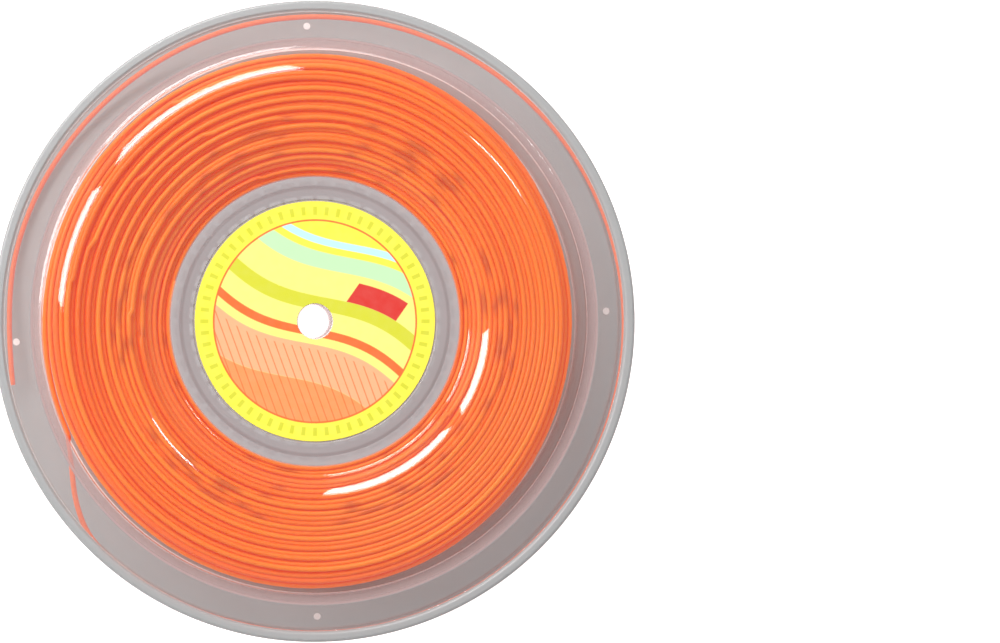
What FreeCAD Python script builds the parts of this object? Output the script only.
import FreeCAD, Part
import math
import os

# String reel: a clear two-flange spool that holds 200 m of tennis string.
# The reel lies on its rear flange. The origin is on the spindle axis, on the plane
# that the rear flange rests on, and +Z points out of the front, labelled face.
# All sizes are in millimetres.

# ---- driving dimensions --------------------------------------------------------------
STRING_DIAMETER = 1.25
REEL_WIDTH = 46.0            # over the raised rings of the two flanges
FLANGE_RADIUS = 75.0
FLANGE_WALL = 1.6
RING_HEIGHT = 4.0            # the raised ring stands this far out of the hub and the rim

RING_OUTER_FOOT = 64.6       # radii of the raised ring: foot, shoulder, shoulder, foot
RING_OUTER_SHOULDER = 58.6
RING_INNER_SHOULDER = 42.0
RING_INNER_FOOT = 35.7
OUTER_SHOULDER_FILLET = 8.0
INNER_SHOULDER_FILLET = 12.0

BEAD_WIDTH = 1.9             # the bead round the rim, and the skirt turned in behind it
BEAD_HEIGHT = 0.7
SKIRT_WALL = 0.8
SKIRT_DEPTH = 5.0

CORE_RADIUS = 33.8           # the tube that the string is wound on
CORE_WALL = 0.9
RIB_COUNT = 48
RIB_WIDTH = 0.9

SPIGOT_OUTER = 31.7          # the ring of each flange that plugs into the core
SPIGOT_INNER = 29.4
SPIGOT_LENGTH = 12.0
GRIP_RIB_DEPTH = 1.0         # fine ribs inside the spigot

LABEL_RADIUS = 28.1
LABEL_THICKNESS = 0.2
SEAT_RADIUS = 28.5           # shallow seat that the label lies in
SEAT_DEPTH = 0.8

BORE_RADIUS = 4.1            # spindle hole
TUBE_WALL = 1.6
COLLAR_WALL = 1.7
COLLAR_LENGTH = 8.0
WEB_RIB_COUNT = 6
WEB_RIB_WALL = 1.2
WEB_RIB_HEIGHT = 5.0

END_HOLE_COUNT = 4           # holes near the rear rim, to tuck the end of the string in
END_HOLE_RADIUS = 1.1
END_HOLE_CIRCLE = 71.6

PACK_RADIUS = 62.4           # outside of the wound string
PACK_CLEARANCE = 0.25        # between the wound string and the flanges
PACK_GROOVE_WIDTH = 1.8      # the deepest furrows between the turns
PACK_GROOVE_DEPTH = 0.9
PACK_FACE_GROOVES = (47.4, 55.6)          # radii of the furrows on each end face
PACK_SIDE_GROOVES = (14.8, 23.0, 31.2)    # levels of the furrows round the outside

# The loose end of the string comes off the winding at the lower left, springs out to the
# rim and lies inside the two skirts for most of a turn, under the front flange at first
# and down at the rear one later. Each point is (angle in degrees, radius, level).
TAIL_ROUTE = [
    (204.7, 63.08, 37.8),
    (211.2, 66.5, 38.2),
    (217.5, 70.4, 38.7),
    (224.0, 73.2, 39.0),
    (233.0, 73.8, 39.2),
    (248.0, 73.9, 39.3),
    (266.0, 74.0, 39.3),
    (284.0, 74.0, 39.2),
    (302.0, 74.0, 38.9),
    (320.0, 74.0, 38.3),
    (338.0, 74.0, 37.1),
    (356.0, 74.0, 35.2),
    (374.0, 74.0, 32.4),
    (392.0, 74.0, 28.7),
    (410.0, 74.0, 24.4),
    (428.0, 73.9, 19.8),
    (446.0, 73.8, 15.5),
    (464.0, 73.7, 11.8),
    (482.0, 73.3, 9.0),
    (500.0, 73.2, 7.4),
    (518.0, 73.7, 6.9),
    (536.0, 73.9, 7.6),
    (552.0, 73.3, 9.4),
]
ARC_SHARE = 0.45             # of the shorter run that each arc of the loose end takes up

# ---- worked-out levels ---------------------------------------------------------------
SEAT_LEVEL = REEL_WIDTH - RING_HEIGHT          # outer face of the front hub and rim
INNER_LEVEL = SEAT_LEVEL - FLANGE_WALL         # inner face of the same wall
MIDDLE = REEL_WIDTH / 2.0
TUBE_RADIUS = BORE_RADIUS + TUBE_WALL
X_AXIS = FreeCAD.Vector(1, 0, 0)
Z_AXIS = FreeCAD.Vector(0, 0, 1)


# ---- small helpers -------------------------------------------------------------------
def at(radius, level):
    """A point of a half section, in the XZ plane."""
    return FreeCAD.Vector(radius, 0, level)


def rounded_outline(corners):
    """A closed wire through (radius, level) corners; a third value is a corner's fillet."""
    edges = []
    starts = []
    ends = []
    count = len(corners)
    for i, (radius, level, *fillet) in enumerate(corners):
        corner = at(radius, level)
        before = at(*corners[i - 1][:2]) - corner
        after = at(*corners[(i + 1) % count][:2]) - corner
        before.normalize()
        after.normalize()
        if not fillet:
            starts.append(corner)
            ends.append(corner)
            continue
        half = before.getAngle(after) / 2.0
        reach = fillet[0] / math.tan(half)
        middle = before + after
        middle.normalize()
        crest = corner + middle * (fillet[0] / math.sin(half) - fillet[0])
        starts.append(corner + before * reach)
        ends.append(corner + after * reach)
        arc = Part.Arc(starts[i], crest, ends[i]).toBSpline()      # splines facet more lightly
        edges.append(arc.toShape())
    for i in range(count):
        if (starts[i] - ends[i - 1]).Length > 1e-6:
            edges.append(Part.LineSegment(ends[i - 1], starts[i]).toShape())
    return Part.Wire(Part.__sortEdges__(edges))


def turned(corners):
    """The solid of revolution of a rounded outline round the spindle axis."""
    face = Part.Face(rounded_outline(corners))
    return face.revolve(FreeCAD.Vector(0, 0, 0), Z_AXIS, 360)


def ring(outer, inner, bottom, top):
    """A plain tube between two levels."""
    height = top - bottom
    start = FreeCAD.Vector(0, 0, bottom)
    return Part.makeCylinder(outer, height, start).cut(Part.makeCylinder(inner, height, start))


def around(shape, count, first=0.0):
    """Copies of a shape at equal angles round the spindle axis."""
    copies = []
    for i in range(count):
        copy = shape.copy()
        copy.rotate(FreeCAD.Vector(0, 0, 0), Z_AXIS, first + 360.0 * i / count)
        copies.append(copy)
    return copies


def wall_ribs(wall_radius, depth, bottom, top):
    """Three-sided crush ribs that run along the inside of a tube, bedded in its wall."""
    bed = 0.2
    corners = [
        FreeCAD.Vector(wall_radius - depth, 0, bottom),
        FreeCAD.Vector(wall_radius + bed, RIB_WIDTH / 2.0, bottom),
        FreeCAD.Vector(wall_radius + bed, -RIB_WIDTH / 2.0, bottom),
    ]
    foot = Part.Face(Part.makePolygon(corners + corners[:1]))
    return around(foot.extrude(Z_AXIS * (top - bottom)), RIB_COUNT)


# ---- flanges -------------------------------------------------------------------------
def flange_shell():
    """The front flange's wall: web, raised ring, rim bead and skirt, without its sockets."""
    wall = FLANGE_WALL
    top = SEAT_LEVEL
    crown = SEAT_LEVEL + RING_HEIGHT
    slope_out = math.atan2(RING_HEIGHT, RING_OUTER_FOOT - RING_OUTER_SHOULDER)
    slope_in = math.atan2(RING_HEIGHT, RING_INNER_SHOULDER - RING_INNER_FOOT)
    shift_out = wall * math.tan(slope_out / 2.0)
    shift_in = wall * math.tan(slope_in / 2.0)
    bead_inside = FLANGE_RADIUS - BEAD_WIDTH
    skirt_inside = FLANGE_RADIUS - SKIRT_WALL
    outer_face = [
        (FLANGE_RADIUS, top - SKIRT_DEPTH),
        (FLANGE_RADIUS, top),
        (FLANGE_RADIUS - BEAD_HEIGHT, top + BEAD_HEIGHT),
        (bead_inside, top + BEAD_HEIGHT),
        (bead_inside - BEAD_HEIGHT, top),
        (RING_OUTER_FOOT, top),
        (RING_OUTER_SHOULDER, crown, OUTER_SHOULDER_FILLET),
        (RING_INNER_SHOULDER, crown, INNER_SHOULDER_FILLET),
        (RING_INNER_FOOT, top),
        (SEAT_RADIUS, top),
        (SEAT_RADIUS, top - SEAT_DEPTH),
        (BORE_RADIUS, top - SEAT_DEPTH),
    ]
    inner_face = [
        (BORE_RADIUS, top - wall),
        (RING_INNER_FOOT + shift_in, top - wall),
        (RING_INNER_SHOULDER + shift_in, crown - wall),
        (RING_OUTER_SHOULDER - shift_out, crown - wall),
        (RING_OUTER_FOOT - shift_out, top - wall),
        (skirt_inside, top - wall),
        (skirt_inside, top - SKIRT_DEPTH),
    ]
    return turned(outer_face + inner_face)


def spigot():
    """The ribbed ring under the front web that plugs into the core."""
    bottom = INNER_LEVEL - SPIGOT_LENGTH
    lead = 0.5
    body = turned([
        (SPIGOT_OUTER, INNER_LEVEL),
        (SPIGOT_INNER, INNER_LEVEL),
        (SPIGOT_INNER, bottom),
        (SPIGOT_OUTER - lead, bottom),
        (SPIGOT_OUTER, bottom + 3.0 * lead),
    ])
    return [body] + wall_ribs(SPIGOT_INNER, GRIP_RIB_DEPTH, bottom, INNER_LEVEL)


def web_ribs(inner_radius):
    """Radial ribs under the front web, from the middle tube out to the spigot."""
    bed = 0.2
    plate = Part.makeBox(
        SPIGOT_INNER - inner_radius + 2.0 * bed,
        WEB_RIB_WALL,
        WEB_RIB_HEIGHT,
        FreeCAD.Vector(inner_radius - bed, -WEB_RIB_WALL / 2.0, INNER_LEVEL - WEB_RIB_HEIGHT),
    )
    return around(plate, WEB_RIB_COUNT, first=180.0 / RIB_COUNT)


def front_flange():
    """The labelled flange, moulded with the spigot and the whole spindle tube."""
    rear_seat = REEL_WIDTH - SEAT_LEVEL + SEAT_DEPTH
    lead = 0.4
    tube = turned([
        (BORE_RADIUS, rear_seat),
        (TUBE_RADIUS - lead, rear_seat),
        (TUBE_RADIUS, rear_seat + lead),
        (TUBE_RADIUS, INNER_LEVEL),
        (BORE_RADIUS, INNER_LEVEL),
    ])
    body = flange_shell().fuse([tube] + spigot() + web_ribs(TUBE_RADIUS))
    return body.removeSplitter()


def turned_over(shape):
    """The same shape for the rear, turned end for end about the reel's middle."""
    copy = shape.copy()
    copy.rotate(FreeCAD.Vector(0, 0, MIDDLE), X_AXIS, 180)
    return copy


def rear_flange():
    """The flange that the reel lies on, with a collar for the tube and string end holes."""
    collar = ring(TUBE_RADIUS + COLLAR_WALL, TUBE_RADIUS, INNER_LEVEL - COLLAR_LENGTH, INNER_LEVEL)
    body = flange_shell().fuse([collar] + spigot() + web_ribs(TUBE_RADIUS + COLLAR_WALL))
    body = body.cut(Part.makeCylinder(TUBE_RADIUS, REEL_WIDTH))
    hole = Part.makeCylinder(
        END_HOLE_RADIUS, REEL_WIDTH, FreeCAD.Vector(END_HOLE_CIRCLE, 0, 0)
    )
    return turned_over(body.cut(around(hole, END_HOLE_COUNT)).removeSplitter())


# ---- core and label ------------------------------------------------------------------
def core_tube():
    """The tube between the flanges, ribbed inside so that it grips their spigots."""
    bottom = REEL_WIDTH - INNER_LEVEL
    tube = ring(CORE_RADIUS, CORE_RADIUS - CORE_WALL, bottom, INNER_LEVEL)
    depth = CORE_RADIUS - CORE_WALL - SPIGOT_OUTER
    return tube.fuse(wall_ribs(CORE_RADIUS - CORE_WALL, depth, bottom, INNER_LEVEL)).removeSplitter()


def front_label():
    """The paper disc stuck in the front seat, with a hole for the spindle."""
    floor = SEAT_LEVEL - SEAT_DEPTH
    return ring(LABEL_RADIUS, BORE_RADIUS + 0.05, floor, floor + LABEL_THICKNESS)


# ---- string --------------------------------------------------------------------------
def face_groove(radius, level):
    """Three corners of a furrow in the lower end face of the wound string."""
    half = PACK_GROOVE_WIDTH / 2.0
    return [(radius - half, level), (radius, level + PACK_GROOVE_DEPTH), (radius + half, level)]


def side_groove(level):
    """Three corners of a furrow round the outside of the wound string."""
    half = PACK_GROOVE_WIDTH / 2.0
    floor = PACK_RADIUS - PACK_GROOVE_DEPTH
    return [(PACK_RADIUS, level - half), (floor, level), (PACK_RADIUS, level + half)]


def string_winding():
    """The outer shape of the wound string, which swells into both raised rings."""
    gap = PACK_CLEARANCE
    low = REEL_WIDTH - INNER_LEVEL + gap
    deep = FLANGE_WALL + gap
    slope_in = math.atan2(RING_HEIGHT, RING_INNER_SHOULDER - RING_INNER_FOOT)
    slope_out = math.atan2(RING_HEIGHT, RING_OUTER_FOOT - RING_OUTER_SHOULDER)
    shift_in = (FLANGE_WALL + gap) * math.tan(slope_in / 2.0)
    shift_out = (FLANGE_WALL + gap) * math.tan(slope_out / 2.0)
    outer = RING_OUTER_SHOULDER - shift_out
    edge = deep + (PACK_RADIUS - outer) * math.tan(slope_out)
    half = [
        (CORE_RADIUS, low),
        (RING_INNER_FOOT + shift_in, low),
        (RING_INNER_SHOULDER + shift_in, deep),
    ]
    for radius in PACK_FACE_GROOVES:
        half += face_groove(radius, deep)
    half += [(outer, deep), (PACK_RADIUS, edge)]
    side = []
    for level in PACK_SIDE_GROOVES:
        side += side_groove(level)
    other_half = [(radius, REEL_WIDTH - level) for radius, level in reversed(half)]
    return turned(half + side + other_half)


def route_point(angle, radius, level):
    """A point of the loose end's route."""
    turn = math.radians(angle)
    return FreeCAD.Vector(radius * math.cos(turn), radius * math.sin(turn), level)


def rounded_path(points):
    """Straight runs through the points joined by tangent arcs, as one open wire."""
    edges = []
    radii = []
    start = points[0]
    for before, corner, after in zip(points, points[1:], points[2:]):
        back = before - corner
        ahead = after - corner
        reach = ARC_SHARE * min(back.Length, ahead.Length)
        back.normalize()
        ahead.normalize()
        half = back.getAngle(ahead) / 2.0
        radius = reach * math.tan(half)
        middle = back + ahead
        middle.normalize()
        crest = corner + middle * (radius / math.sin(half) - radius)
        edges.append(Part.LineSegment(start, corner + back * reach).toShape())
        edges.append(Part.Arc(corner + back * reach, crest, corner + ahead * reach).toShape())
        start = corner + ahead * reach
        radii.append(round(radius, 1))
    edges.append(Part.LineSegment(start, points[-1]).toShape())
    print("loose end: arc radii", radii)
    return Part.Wire(edges)


def string_tail():
    """The loose end of the string, an eight-sided tube along its route."""
    points = [route_point(*place) for place in TAIL_ROUTE]
    path = rounded_path(points)
    circle = Part.Circle(points[0], points[1] - points[0], STRING_DIAMETER / 2.0)
    corners = [circle.value(math.radians(45.0 * i)) for i in range(8)]
    section = Part.makePolygon(corners + corners[:1])
    tube = path.makePipeShell([section], True, False)
    expected = Part.Face(section).Area * path.Length
    print("loose end: length %.1f, volume %.2f of %.2f" % (path.Length, tube.Volume, expected))
    return tube


SHAPES = {
    "front_flange": front_flange,
    "rear_flange": rear_flange,
    "core_tube": core_tube,
    "front_label": front_label,
    "string_winding": string_winding,
    "string_tail": string_tail,
}


def main():
    """Build every piece and write it to its own file."""
    os.makedirs("parts", exist_ok=True)
    for name, build in SHAPES.items():
        shape = build()
        solid = shape.Solids[0]
        assert len(shape.Solids) == 1 and solid.isValid(), name
        print("%s: %.2f cm3" % (name, solid.Volume / 1000.0))
        solid.exportStep("parts/%s.step" % name)


if __name__ == "__main__":
    main()
